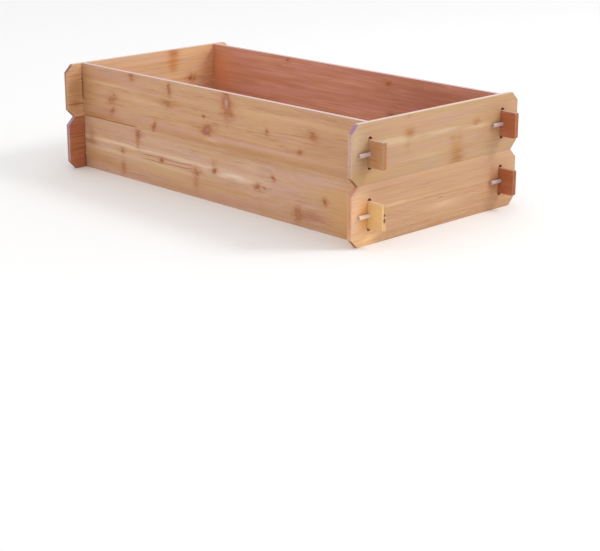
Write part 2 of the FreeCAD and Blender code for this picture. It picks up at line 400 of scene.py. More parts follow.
@dataclass(frozen=True)
class Timber:
    """Planed or turned wood, unfinished: rings, fibre, broad drifts of colour, knots and darker end grain,
    with a painted sky sheen on what faces up, painted highlights on the eased corners and painted shade on
    the corner cuts that face down.

    The rings are cylinders round the middle of the log, so a board's faces, edges and ends all show cuts
    through the same wood. Lengths are in millimetres, from the middle of the piece. A layer is a share, from
    0 to 1, and the colour that covers that share of what is under it.
    """

    name: str
    along: Along
    early: str  # the light wood between the ring lines
    late: str  # the ring lines
    drift: str  # the colour that broad areas lean to
    edge: str  # painted sky sheen: a pale tone on the surfaces that face the sky
    end: str  # end grain
    corner_cut: str = "#B08C94"  # painted sky reflection on the corner cuts that slope to the sky
    under_cut: str = "#845028"  # painted shade on the corner cuts that slope to the ground
    glow: str = "#D0A26A"  # the golden colour that other broad areas lean to
    knot: str = "#9A522A"
    knot_heart: str = "#CBA39A"
    knot_halo: str = "#B8723C"
    log_middle: tuple[float, float] = (12.0, 46.0)  # up and through, from the middle of the board
    wander: tuple[float, float] = (30.0, 40.0)  # how far the log's middle strays, up and through
    ring_gap: float = 3.6  # real cedar has 1 to 3 mm; drawn coarser so that it shows
    ring_depth: float = 0.26
    band_depth: float = 0.6
    fibre_depth: float = 0.75
    drift_depth: float = 0.6
    # How much of the painted sky sheen and of the painted shade on the corner cuts shows
    edge_share: float = 0.85
    end_share: float = 0.75
    fibre_length: float = 42.0
    fibre_gap: float = 2.2  # real fibre bundles are 0.3 mm or less; drawn coarser so that they show
    roughness: float = 0.68
    seed: float = 0.0
    knots: tuple[Knot, ...] = ()
    tints: tuple[Tint, ...] = ()
    streaks: tuple[Streak, ...] = ()

    def figure(self, graph: Graph, board: Socket, pattern: Pattern, out: str = "Fac") -> Socket:
        """Add a soft random pattern, moved by this wood's seed.

        Args:
            graph: the material's tree.
            board: the position on the board, in millimetres.
            pattern: its features' lengths, and its shift.
            out: the noise output to give back.

        Returns:
            The pattern's socket.
        """
        share = tuple(1.0 / length for length in pattern.lengths)
        scaled = graph.add(Kind.VECTOR, [board, share], operation="MULTIPLY")
        seeded = (self.seed, pattern.shift, self.seed * SEED_SKEW)
        moved = graph.add(Kind.VECTOR, [scaled, seeded], operation="ADD")
        settings = {"Vector": moved, "Scale": 1.0, "Detail": PATTERN_DETAIL, "Roughness": PATTERN_ROUGHNESS}
        return graph.add(Kind.NOISE, settings, out=out)

    def board_position(self, graph: Graph, node: str) -> Socket:
        """Give the position on the piece, from its middle, in millimetres: along, up and through.

        Args:
            graph: the material's tree.
            node: the CAD node that the piece stands for.

        Returns:
            The position's socket.
        """
        low, high = (Vector(corner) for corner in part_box(node))
        place = graph.add(Kind.COORDINATES, [], out="Object")
        offset = graph.add(Kind.VECTOR, [place, tuple((low + high) / 2)], operation="SUBTRACT")
        parts = graph.add(Kind.SPLIT, [offset], out=None)
        turned = graph.add(Kind.JOIN, [parts.outputs[name] for name in self.along.value])
        return graph.add(Kind.VECTOR, {0: turned, "Scale": 1 / MM}, operation="SCALE")

    def knotwork(
        self, graph: Graph, board: Socket, knot_group: bpy.types.NodeTree
    ) -> tuple[list, Socket | float]:
        """Add every knot, and gather what they look like and how they push the grain.

        Args:
            graph: the material's tree.
            board: the position on the board, in millimetres.
            knot_group: the group for one knot.

        Returns:
            The knots' layers of colour, halo first, and the grain's push.
        """
        if not self.knots:
            return [], 0.0
        wobble = self.figure(graph, board, KNOT_EDGES)
        ragged = graph.add(Kind.RANGE, [wobble, *PATTERN_SPAN, *EACH_WAY])
        look = (0.0, 0.0, 0.0)
        push = 0.0
        for knot in self.knots:
            place = {
                "Board": board,
                "Centre": (knot.along, knot.up, 0.0),
                "Size": (knot.half_length, knot.half_height, GOES_THROUGH),
                "Lean": knot.lean,
                "Tone": knot.tone,
                "Heart": knot.pale_heart,
                "Ragged": ragged,
            }
            spot = graph.add(Kind.GROUP, place, out=None, node_tree=knot_group)
            look = graph.add(Kind.VECTOR, [look, spot.outputs["Look"]], operation="MAXIMUM")
            push = graph.add(Kind.MATH, [push, spot.outputs["Push"]], operation="ADD")
        parts = graph.add(Kind.SPLIT, [look], out=None)
        layers = []
        for part, hue, amount in (
            ("Z", self.knot_halo, HALO_AMOUNT),
            ("X", self.knot, CORE_AMOUNT),
            ("Y", self.knot_heart, HEART_AMOUNT),
        ):
            share = graph.add(Kind.MATH, [parts.outputs[part], amount], operation="MULTIPLY")
            layers.append((share, linear(hue)))
        return layers, push

    def rings(self, graph: Graph, board: Socket, push: Socket | float) -> Socket:
        """Add the growth rings, cut by whatever face shows them.

        Args:
            graph: the material's tree.
            board: the position on the board, in millimetres.
            push: how far the knots push the grain up.

        Returns:
            The socket of the ring line's depth, from 0 to 1.
        """
        stray = self.figure(graph, board, LOG_BENDS, out="Color")
        centred = graph.add(Kind.VECTOR, [stray, PATTERN_CENTRE], operation="SUBTRACT")
        reach = (0.0, TO_WHOLE * self.wander[0], TO_WHOLE * self.wander[1])
        strayed = graph.add(Kind.VECTOR, [centred, reach], operation="MULTIPLY")
        from_middle = graph.add(Kind.VECTOR, [board, (0.0, *self.log_middle)], operation="SUBTRACT")
        bent = graph.add(Kind.VECTOR, [from_middle, strayed], operation="ADD")
        lifted = graph.add(Kind.JOIN, [0.0, push, 0.0])
        parted = graph.add(Kind.VECTOR, [bent, lifted], operation="ADD")
        cross = graph.add(Kind.VECTOR, [parted, ACROSS_GRAIN], operation="MULTIPLY")
        radius = graph.add(Kind.VECTOR, [cross], out="Value", operation="LENGTH")
        wave = self.figure(graph, board, RING_WAVES)
        wave_depth = graph.add(Kind.MATH, [wave, RING_WAVE_DEPTH], operation="MULTIPLY")
        warped = graph.add(Kind.MATH, [radius, wave_depth], operation="ADD")
        phase = graph.add(Kind.MATH, [warped, self.ring_gap], operation="DIVIDE")
        share = graph.add(Kind.MATH, [phase], operation="FRACT")
        rise = graph.add(Kind.RANGE, [share, *LATE_WOOD, *NONE_TO_ALL], **SOFT)
        fall = graph.add(Kind.RANGE, [share, *NEXT_RING, *ALL_TO_NONE], **SOFT)
        line = graph.add(Kind.MATH, [rise, fall], operation="MULTIPLY")
        count = graph.add(Kind.MATH, [phase], operation="FLOOR")
        year = graph.add(Kind.RANDOM, {"W": count}, out="Value", noise_dimensions="1D")
        weight = graph.add(Kind.RANGE, [year, *NONE_TO_ALL, FAINTEST_RING, 1.0])
        return graph.add(Kind.MATH, [line, weight], operation="MULTIPLY")

    def streak_layers(self, graph: Graph, board: Socket, push: Socket | float) -> list:
        """Add the dark lines, resin lines and one line of painted shade, which run with the grain and part
        round a knot.

        Args:
            graph: the material's tree.
            board: the position on the board, in millimetres.
            push: how far the knots push the grain up.

        Returns:
            One layer of colour, or none if the wood has no streaks.
        """
        if not self.streaks:
            return []
        parts = graph.add(Kind.SPLIT, [board], out=None)
        along = parts.outputs["X"]
        swing = self.figure(graph, board, STREAK_SWAY)
        swing_each_way = graph.add(Kind.RANGE, [swing, *PATTERN_SPAN, *EACH_WAY])
        part_round = graph.add(Kind.MATH, [push, STREAK_PARTING], operation="MULTIPLY")
        height = graph.add(Kind.MATH, [parts.outputs["Y"], part_round], operation="ADD")
        dark = 0.0
        for streak in self.streaks:
            run = graph.add(Kind.MATH, [along, streak.start], operation="SUBTRACT")
            climb = graph.add(Kind.MATH, [run, streak.rise], operation="MULTIPLY")
            straight = graph.add(Kind.MATH, [climb, streak.up], operation="ADD")
            stray = graph.add(Kind.MATH, [swing_each_way, streak.sway], operation="MULTIPLY")
            line = graph.add(Kind.MATH, [straight, stray], operation="ADD")
            off_line = graph.add(Kind.MATH, [height, line], operation="SUBTRACT")
            away = graph.add(Kind.MATH, [off_line], operation="ABSOLUTE")
            core = streak.width * STREAK_CORE
            share = graph.add(Kind.RANGE, [away, core, streak.width, streak.tone, 0.0], **SOFT)
            fade = min(STREAK_FADE, (streak.end - streak.start) * STREAK_FADE_SHARE)
            for span in (
                (streak.start, streak.start + fade, *NONE_TO_ALL),
                (streak.end - fade, streak.end, *ALL_TO_NONE),
            ):
                within = graph.add(Kind.RANGE, [along, *span], **SOFT)
                share = graph.add(Kind.MATH, [share, within], operation="MULTIPLY")
            dark = graph.add(Kind.MATH, [dark, share], operation="MAXIMUM")
        return [(dark, linear(self.knot))]

    def tint_layers(self, graph: Graph, board: Socket, spot_group: bpy.types.NodeTree) -> list:
        """Add the soft patches of other colours: the wood's own, and some painted shade and painted
        reflected light.

        Args:
            graph: the material's tree.
            board: the position on the board, in millimetres.
            spot_group: the group that measures the distance from a spot.

        Returns:
            A layer of colour for each patch.
        """
        wisp = self.figure(graph, board, TINT_EDGES)
        ragged = graph.add(Kind.RANGE, [wisp, *PATTERN_SPAN, -TINT_RAGGEDNESS, TINT_RAGGEDNESS])
        layers = []
        for tint in self.tints:
            place = {
                "Board": board,
                "Centre": (tint.along, tint.up, tint.through),
                "Size": (tint.half_length, tint.half_height, tint.half_depth),
                "Lean": tint.lean,
            }
            distance = graph.add(Kind.GROUP, place, out="Distance", node_tree=spot_group)
            ragged_distance = graph.add(Kind.MATH, [distance, ragged], operation="ADD")
            share = bell(graph, ragged_distance, OUTLINE)
            amount = graph.add(Kind.MATH, [share, tint.amount], operation="MULTIPLY")
            layers.append((amount, linear(tint.colour)))
        return layers

    def end_layer(self, graph: Graph, line: Socket) -> tuple[Socket, Socket]:
        """Add the darker end grain, where the rings show as arcs.

        Args:
            graph: the material's tree.
            line: the ring line's depth.

        Returns:
            The layer of colour.
        """
        facing = graph.add(Kind.COORDINATES, [], out="Normal")
        lengthwise = graph.add(Kind.SPLIT, [facing], out=self.along.value[0])
        along = graph.add(Kind.MATH, [lengthwise], operation="ABSOLUTE")
        ring_end = graph.add(Kind.RANGE, [line, *NONE_TO_ALL, 1.0, END_RING_TONE])
        mix = {SHARE: 1.0, UNDER: linear(self.end), OVER: ring_end}
        tone = graph.add(Kind.MIX, mix, out=MIXED, data_type="RGBA", blend_type="MULTIPLY")
        return graph.add(Kind.RANGE, [along, *END_FACING, 0.0, self.end_share]), tone

    def sky_layers(self, graph: Graph, board: Socket) -> list:
        """Paint a sky sheen on what faces the sky and on the corner cuts that slope to it, and a highlight
        on the eased corners.

        The corner cuts that slope to the ground get painted shade, and a tenon gets less of the painted
        sheen.

        Args:
            graph: the material's tree.
            board: the position on the board, in millimetres.

        Returns:
            The layers of colour.
        """
        facing = graph.add(Kind.COORDINATES, [], out="Normal")
        parts = graph.add(Kind.SPLIT, [facing], out=None)
        through = graph.add(Kind.MATH, [parts.outputs[self.along.value[2]]], operation="ABSOLUTE")
        off_flat = graph.add(Kind.MATH, [1.0, through], operation="SUBTRACT")
        corner = graph.add(Kind.MATH, [off_flat, through], operation="MULTIPLY")
        # Painted highlight on the eased corners
        eased = graph.add(Kind.RANGE, [corner, *EASED_FACING, 0.0, EASED_HIGHLIGHT_SHARE])
        # Painted sky sheen: a pale lavender tone on flat tops that face the open sky, and less of it on a
        # tenon
        up = graph.add(Kind.SPLIT, [board], out="Y")
        open_sky = graph.add(Kind.RANGE, [up, *OPEN_SKY, 0.0, self.edge_share], **SOFT)
        flat_top = graph.add(Kind.RANGE, [parts.outputs["Z"], *TOP_FACING, *NONE_TO_ALL])
        painted_sky_sheen = graph.add(Kind.MATH, [flat_top, open_sky], operation="MULTIPLY")
        layers = [(eased, linear(EASED_HIGHLIGHT_TONE)), (painted_sky_sheen, linear(self.edge))]
        # Painted sky reflection on the corner cuts that slope up, painted shade on those that slope down
        for slope, tone in ((CUT_FACING, self.corner_cut), (-CUT_FACING, self.under_cut)):
            off_slope = graph.add(Kind.MATH, [parts.outputs["Z"], slope], operation="SUBTRACT")
            sloped = bell(graph, off_slope, CUT_FACING_WIDTH)
            share = graph.add(Kind.MATH, [sloped, self.edge_share], operation="MULTIPLY")
            layers.append((share, linear(tone)))
        return layers

    def material(self, node: str, groups: "Groups") -> bpy.types.Material:
        """Build the material for the piece that stands for a node.

        Args:
            node: the CAD node, whose middle the grain is laid out from.
            groups: the node groups that the materials share.

        Returns:
            The material.
        """
        material = bpy.data.materials.new(self.name)
        material.use_nodes = True
        graph = Graph(material.node_tree)
        board = self.board_position(graph, node)
        knot_layers, push = self.knotwork(graph, board, groups.knot)
        line = self.rings(graph, board, push)
        band = self.figure(graph, board, BANDS)
        fibre_lengths = (self.fibre_length, self.fibre_gap, self.fibre_gap)
        fibre = self.figure(graph, board, Pattern(fibre_lengths, FIBRE_SHIFT))
        tone = graph.add(Kind.MATH, [line, self.ring_depth], operation="MULTIPLY")
        for pattern, depth in ((band, self.band_depth), (fibre, self.fibre_depth)):
            share = graph.add(Kind.MATH, [pattern, PLAIN_TONE], operation="SUBTRACT")
            weighted = graph.add(Kind.MATH, [share, depth * TO_WHOLE], operation="MULTIPLY")
            tone = graph.add(Kind.MATH, [tone, weighted], operation="ADD")
        layers = [(tone, linear(self.late))]
        for hue, area in ((self.drift, DRIFTS), (self.glow, GLOWS)):
            broad = self.figure(graph, board, area)
            leaning = graph.add(Kind.RANGE, [broad, *DRIFT_SPAN, 0.0, self.drift_depth], **SOFT)
            layers.append((leaning, linear(hue)))
        layers.append(self.end_layer(graph, line))
        layers += self.tint_layers(graph, board, groups.spot)
        layers += self.streak_layers(graph, board, push)
        layers += knot_layers
        layers += self.sky_layers(graph, board)
        colour = linear(self.early)
        for share, over in layers:
            mix = {SHARE: share, UNDER: colour, OVER: over}
            colour = graph.add(Kind.MIX, mix, out=MIXED, data_type="RGBA")
        # Planed softwood: the hard ring lines and fibres stand a little above the soft wood between them.
        height = graph.add(Kind.MATH, [line, fibre], operation="ADD")
        relief = {"Strength": RELIEF_STRENGTH, "Distance": RELIEF, "Height": height}
        bump = graph.add(Kind.BUMP, relief, out="Normal")
        span = (self.roughness + SMOOTHER, self.roughness + ROUGHER)
        rough = graph.add(Kind.RANGE, [fibre, *FIBRE_SPAN, *span])
        finish = {"Base Color": colour, "Roughness": rough, "Normal": bump, "IOR": WOOD_IOR}
        surface = graph.add(Kind.PRINCIPLED, finish)
        graph.add(Kind.OUTPUT, {"Surface": surface}, out=None)
        return material


# Where a knot has fallen out of a tenon's tip and left a check above it, in metres: across, up, half sizes
KNOT_HOLES = (
    (0.0026, 0.0075, 0.0030, 0.0042),
    (0.0022, -0.0056, 0.0034, 0.0062),
    (0.0030, 0.0215, 0.0009, 0.0100),
)


class Groups:
    """The node groups that the materials share."""

    def __init__(self) -> None:
        """Build both groups."""
        self.spot = spot_tree()
        self.knot = knot_tree(self.spot)


class Element(Enum):
    """What is picked in edit mode, as the select mode is called and as the mesh holds it."""

    EDGE = "edges"
    FACE = "faces"


def clear_selection() -> None:
    """Deselect every object, because operators act on all that is selected."""
    for item in bpy.context.selected_objects:
        item.select_set(False)


def make_active(piece: bpy.types.Object) -> None:
    """Select this object alone and make it the active one."""
    clear_selection()
    piece.select_set(True)
    bpy.context.view_layer.objects.active = piece


def settle(piece: bpy.types.Object) -> None:
    """Put the object's place and size into its mesh, which leaves the object at the origin."""
    make_active(piece)
    bpy.ops.object.transform_apply(location=True, rotation=True, scale=True)


def add_block(name: str, low: Vector, high: Vector) -> bpy.types.Object:
    """Add a block between two corners, as the start of a board.

    Args:
        name: the new object's name.
        low: its lowest corner.
        high: its highest corner.

    Returns:
        The object, at the origin.
    """
    clear_selection()
    bpy.ops.mesh.primitive_cube_add(size=1, location=(low + high) / 2)
    piece = bpy.context.active_object
    piece.name = name
    piece.data.name = name
    piece.scale = high - low
    settle(piece)
    return piece


def add_rod(
    name: str, centre: Vector, radius: float, length: float, axis: str, sides: int = CUTTER_SIDES
) -> bpy.types.Object:
    """Add a round rod along X or Y.

    Args:
        name: the new object's name.
        centre: its middle.
        radius: its radius.
        length: its length.
        axis: X or Y.
        sides: how many faces it has round it.

    Returns:
        The object, at the origin.
    """
    clear_selection()
    turn = (0.0, math.pi / 2, 0.0) if axis == "X" else (math.pi / 2, 0.0, 0.0)
    bpy.ops.mesh.primitive_cylinder_add(
        vertices=sides, radius=radius, depth=length, location=centre, rotation=turn
    )
    piece = bpy.context.active_object
    piece.name = name
    piece.data.name = name
    settle(piece)
    return piece


def shape(piece: bpy.types.Object, element: Element, wanted: Callable, action: Callable[[], None]) -> None:
    """Go into edit mode, pick edges or faces, and run an operator on them.

    Args:
        piece: the object to shape.
        element: what to pick.
        wanted: says of an edge or a face whether it is picked.
        action: runs the operator.
    """
    make_active(piece)
    bpy.ops.object.mode_set(mode="EDIT")
    bpy.ops.mesh.select_mode(type=element.name)
    bpy.ops.mesh.select_all(action="DESELECT")
    mesh = bmesh.from_edit_mesh(piece.data)
    for item in getattr(mesh, element.value):
        item.select_set(wanted(item))
    bmesh.update_edit_mesh(piece.data)
    action()
    bpy.ops.object.mode_set(mode="OBJECT")


def everything(item) -> bool:
    """Pick all there is."""
    return True


def cut_across(piece: bpy.types.Object, point: tuple, normal: tuple) -> None:
    """Cut a line right round a piece where a plane meets it."""
    shape(piece, Element.FACE, everything, lambda: bpy.ops.mesh.bisect(plane_co=point, plane_no=normal))


def apply_modifier(piece: bpy.types.Object, name: str, kind: str, **settings) -> None:
    """Add a modifier with its settings and apply it."""
    modifier = piece.modifiers.new(name, kind)
    for key, value in settings.items():
        setattr(modifier, key, value)
    make_active(piece)
    bpy.ops.object.modifier_apply(modifier=name)


def cut_out(piece: bpy.types.Object, cutter: bpy.types.Object) -> None:
    """Cut one piece's shape out of another and throw the cutter away."""
    apply_modifier(piece, "CutOut", "BOOLEAN", operation="DIFFERENCE", solver="EXACT", object=cutter)
    bpy.data.objects.remove(cutter)


def add_pit(centre: Vector, half_size: Vector) -> bpy.types.Object:
    """Make the shape of a loose knot's hole: a faceted pebble, wider below than above.

    Args:
        centre: its middle.
        half_size: half its size each way.

    Returns:
        The shape, to cut out with.
    """
    clear_selection()
    bpy.ops.mesh.primitive_ico_sphere_add(subdivisions=PIT_DETAIL, radius=1.0, location=centre)
    pit = bpy.context.active_object
    pit.scale = half_size
    settle(pit)
    shape(
        pit,
        Element.FACE,
        lambda face: face.calc_center_median().z < centre.z,
        lambda: bpy.ops.transform.resize(value=(1.0, PIT_SPREAD, 1.0), center_override=centre),
    )
    return pit


def bevel_edges(piece: bpy.types.Object, wanted: Callable, width: float, steps: int) -> None:
    """Bevel the edges that are picked.

    Args:
        piece: the object to shape.
        wanted: says of an edge whether it is picked.
        width: the bevel's width.
        steps: how many steps it has.
    """
    shape(
        piece, Element.EDGE, wanted, lambda: bpy.ops.mesh.bevel(offset=width, segments=steps, affect="EDGES")
    )


def draw_out(piece: bpy.types.Object, wanted: Callable, move: tuple[float, float, float]) -> None:
    """Extrude the faces that are picked.

    Args:
        piece: the object to shape.
        wanted: says of a face whether it is picked.
        move: how far, each way.
    """
    shape(
        piece,
        Element.FACE,
        wanted,
        lambda: bpy.ops.mesh.extrude_region_move(TRANSFORM_OT_translate={"value": move}),
    )


def ease_edges(piece: bpy.types.Object, width: float) -> None:
    """Round every sharp edge a little, as a planed board's are."""
    settings = {"segments": EASED, "limit_method": "ANGLE", "angle_limit": SMOOTH_ANGLE}
    apply_modifier(piece, "EasedEdges", "BEVEL", width=width, **settings)


def smooth(piece: bpy.types.Object) -> None:
    """Shade smooth, and keep the sharp edges sharp."""
    make_active(piece)
    bpy.ops.object.shade_smooth_by_angle(angle=SMOOTH_ANGLE)


def near(value: float, target: float) -> bool:
    """Whether two places are the same, within the tolerance."""
    return abs(value - target) < PLACE_TOLERANCE


@dataclass
class SideBoard:
    """A long board with a tenon at each end."""

    course: Course
    side: str
    finish: Timber
    tenon_height: float = 0.066
    tip_radius: float = 0.004
    tip_chamfer: float = 0.0016
    eased: float = 0.0007
    hole_radius: float = 0.0052
    hole_from_face: float = 0.0055  # from the end board's outer face to the peg's middle
    checks: tuple[tuple[float, float, float, float], ...] = ()  # as in KNOT_HOLES
    check_depth: float = 0.012

    @property
    def node(self) -> str:
        """The CAD node that the board stands for."""
        return f"{self.course.label}_{self.side}_board"

    def build(self, groups: Groups) -> bpy.types.Object:
        """Make the board and dress it.

        Returns:
            The finished board.
        """
        low, high = (Vector(corner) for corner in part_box(self.node))
        end_low, end_high = (Vector(corner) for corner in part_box(f"{self.course.label}_right_end_board"))
        shoulder = end_low.x
        piece = add_block(
            f"{self.course.label}_{self.side}_side_plank",
            Vector((-shoulder, low.y, low.z)),
            Vector((shoulder, high.y, high.z)),
        )
        self.draw_tenons(piece, shoulder, high.x, (low.z + high.z) / 2)
        self.lead_in(piece, high.x)
        ease_edges(piece, self.eased)
        self.drill(piece, end_high.x + self.hole_from_face, (low + high) / 2)
        for across, up, half_width, half_height in self.checks:
            place = Vector((high.x, (low.y + high.y) / 2 + across, (low.z + high.z) / 2 + up))
            cut_out(piece, add_pit(place, Vector((self.check_depth, half_width, half_height))))
        smooth(piece)
        dress(piece, self.node, self.course.value, self.finish.material(self.node, groups))
        return piece

    def draw_tenons(self, piece: bpy.types.Object, shoulder: float, tip: float, middle: float) -> None:
        """Draw a tenon out of each end of the block."""
        half = self.tenon_height / 2
        for height in (middle - half, middle + half):
            cut_across(piece, (0.0, 0.0, height), (0.0, 0.0, 1.0))
        for side in (-1, 1):

            def end_face(face) -> bool:
                centre = face.calc_center_median()
                return near(centre.x, side * shoulder) and abs(centre.z - middle) < half

            draw_out(piece, end_face, (side * (tip - shoulder), 0.0, 0.0))

    def lead_in(self, piece: bpy.types.Object, tip: float) -> None:
        """Round the tenons' corners and chamfer their tips, so that they start easily in the slot."""

        def at_tip(edge) -> bool:
            return all(near(abs(vertex.co.x), tip) for vertex in edge.verts)

        def corner(edge) -> bool:
            return at_tip(edge) and not near(edge.verts[0].co.y, edge.verts[1].co.y)

        def outline(edge) -> bool:
            return at_tip(edge) and near(edge.verts[0].co.y, edge.verts[1].co.y)

        bevel_edges(piece, corner, self.tip_radius, ROUND)
        bevel_edges(piece, outline, self.tip_chamfer, FLAT)

    def drill(self, piece: bpy.types.Object, reach: float, middle: Vector) -> None:
        """Drill the peg hole through each tenon."""
        for side in (-1, 1):
            centre = Vector((side * reach, middle.y, middle.z))
            cut_out(piece, add_rod("drill", centre, self.hole_radius, CUTTER_LENGTH, "Y"))


@dataclass
class EndBoard:
    """A short board with its corners cut off and two upright slots."""

    course: Course
    end: str
    finish: Timber
    corner_cut: float = 0.022
    slot_height: float = 0.081
    slot_width: float = 0.0142
    eased: float = 0.0007

    @property
    def node(self) -> str:
        """The CAD node that the board stands for."""
        return f"{self.course.label}_{self.end}_end_board"

    def build(self, groups: Groups) -> bpy.types.Object:
        """Make the board and dress it.

        Returns:
            The finished board.
        """
        low, high = (Vector(corner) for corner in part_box(self.node))
        piece = add_block(f"{self.course.label}_{self.end}_end_plank", low, high)

        def corner(edge) -> bool:
            return not near(edge.verts[0].co.x, edge.verts[1].co.x)

        bevel_edges(piece, corner, self.corner_cut, FLAT)
        ease_edges(piece, self.eased)
        for side in ("front", "back"):
            side_low, side_high = (Vector(c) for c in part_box(f"{self.course.label}_{side}_board"))
            centre = Vector(((low.x + high.x) / 2, (side_low.y + side_high.y) / 2, (low.z + high.z) / 2))
            cut_out(piece, self.slot_cutter(centre))
        smooth(piece)
        dress(piece, self.node, self.course.value, self.finish.material(self.node, groups))
        return piece

    def slot_cutter(self, centre: Vector) -> bpy.types.Object:
        """Make the shape of one slot: a rod pulled apart into an upright stadium."""
        radius = self.slot_width / 2
        cutter = add_rod("slot", centre, radius, CUTTER_LENGTH, "X")
        rise = self.slot_height / 2 - radius
        for sign in (-1, 1):

            def half(face) -> bool:
                return sign * (face.calc_center_median().z - centre.z) > PLACE_TOLERANCE

            if sign < 0:
                cut_across(cutter, tuple(centre), (0.0, 0.0, 1.0))
            draw_out(cutter, half, (0.0, 0.0, sign * rise))
        return cutter


@dataclass
class Peg:
    """A turned dowel that locks one tenon."""

    course: Course
    side: str
    end: str
    finish: Timber
    rim: float = 0.0012
    sides: int = 40

    @property
    def node(self) -> str:
        """The CAD node that the peg stands for, which is also its body."""
        return f"{self.course.label}_{self.side}_{self.end}_peg"

    def build(self, groups: Groups) -> bpy.types.Object:
        """Make the peg and dress it.

        Returns:
            The finished peg.
        """
        low, high = (Vector(corner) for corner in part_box(self.node))
        size = high - low
        name = f"{self.course.label}_{self.side}_{self.end}_dowel"
        piece = add_rod(name, (low + high) / 2, size.z / 2, size.y, "Y", self.sides)

        def rim_edge(edge) -> bool:
            return near(edge.verts[0].co.y, edge.verts[1].co.y)

        bevel_edges(piece, rim_edge, self.rim, RIM)
        smooth(piece)
        dress(piece, self.node, self.node, self.finish.material(self.node, groups))
        return piece


def dress(piece: bpy.types.Object, node: str, body: str, material: bpy.types.Material) -> None:
    """Give a piece its material, and tie it to the frame.

    Args:
        piece: the finished piece.
        node: the CAD node that it stands for.
        body: the body that it moves with.
        material: its finish.
    """
    piece.data.materials.clear()
    piece.data.materials.append(material)
    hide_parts(node)
    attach(piece, body)
    log.info("%s stands for %s and rides on %s", piece.name, node, body)


@dataclass
class Studio:
    """A pale floor, soft light and the camera."""

    floor_size: float = 30.0
    floor_tone: str = "#F8F8F8"
    floor_roughness: float = 0.9
    sky: str = "#FFFFFF"
    sky_strength: float = 0.93
    lamp_place: tuple[float, float, float] = (3.0, 2.6, 3.6)
    lamp_size: float = 1.4
    lamp_power: float = 85.0
    aim: tuple[float, float, float] = (0.0, 0.0, 0.149)
    azimuth: float = 45.995
    elevation: float = 17.652
    camera_place: tuple[float, float, float] = (2.9854, -2.8124, 1.0464)
    lens: float = 92.7

    def build(self) -> None:
        """Set up the whole studio."""
        self.lay_floor()
        self.light()
        self.point_camera()

    def lay_floor(self) -> None:
        """Lay a plain matt floor."""
        clear_selection()
        bpy.ops.mesh.primitive_plane_add(size=self.floor_size, location=(0.0, 0.0, 0.0))
        floor = bpy.context.active_object
        floor.name = "studio_floor"
        material = bpy.data.materials.new("matt_studio_paper")
        material.use_nodes = True
        graph = Graph(material.node_tree)
        paint = {"Base Color": linear(self.floor_tone), "Roughness": self.floor_roughness}
        surface = graph.add(Kind.PRINCIPLED, paint)
        graph.add(Kind.OUTPUT, {"Surface": surface}, out=None)
        floor.data.materials.append(material)

    def light(self) -> None:
        """Light the scene with a pale sky and one large soft lamp behind and to the right."""
        world = bpy.data.worlds.new("pale_sky")
        world.use_nodes = True
        background = world.node_tree.nodes["Background"]
        background.inputs["Color"].default_value = linear(self.sky)
        background.inputs["Strength"].default_value = self.sky_strength
        bpy.context.scene.world = world
        data = bpy.data.lights.new("key", "AREA")
        data.size = self.lamp_size
        data.energy = self.lamp_power
        lamp = bpy.data.objects.new("key", data)
        lamp.location = self.lamp_place
        lamp.rotation_euler = (Vector(self.aim) - lamp.location).to_track_quat("-Z", "Y").to_euler()
        bpy.context.scene.collection.objects.link(lamp)

    def point_camera(self) -> None:
        """Place the camera, with no shift and no depth of field."""
        data = bpy.data.cameras.new("camera")
        data.lens = self.lens
        camera = bpy.data.objects.new("camera", data)
        azimuth = math.radians(self.azimuth)
        elevation = math.radians(self.elevation)
        level = math.cos(elevation)
        back = Vector((math.sin(azimuth) * level, -math.cos(azimuth) * level, math.sin(elevation)))
        camera.location = self.camera_place
        camera.rotation_euler = (-back).to_track_quat("-Z", "Y").to_euler()
        bpy.context.scene.collection.objects.link(camera)
        bpy.context.scene.camera = camera


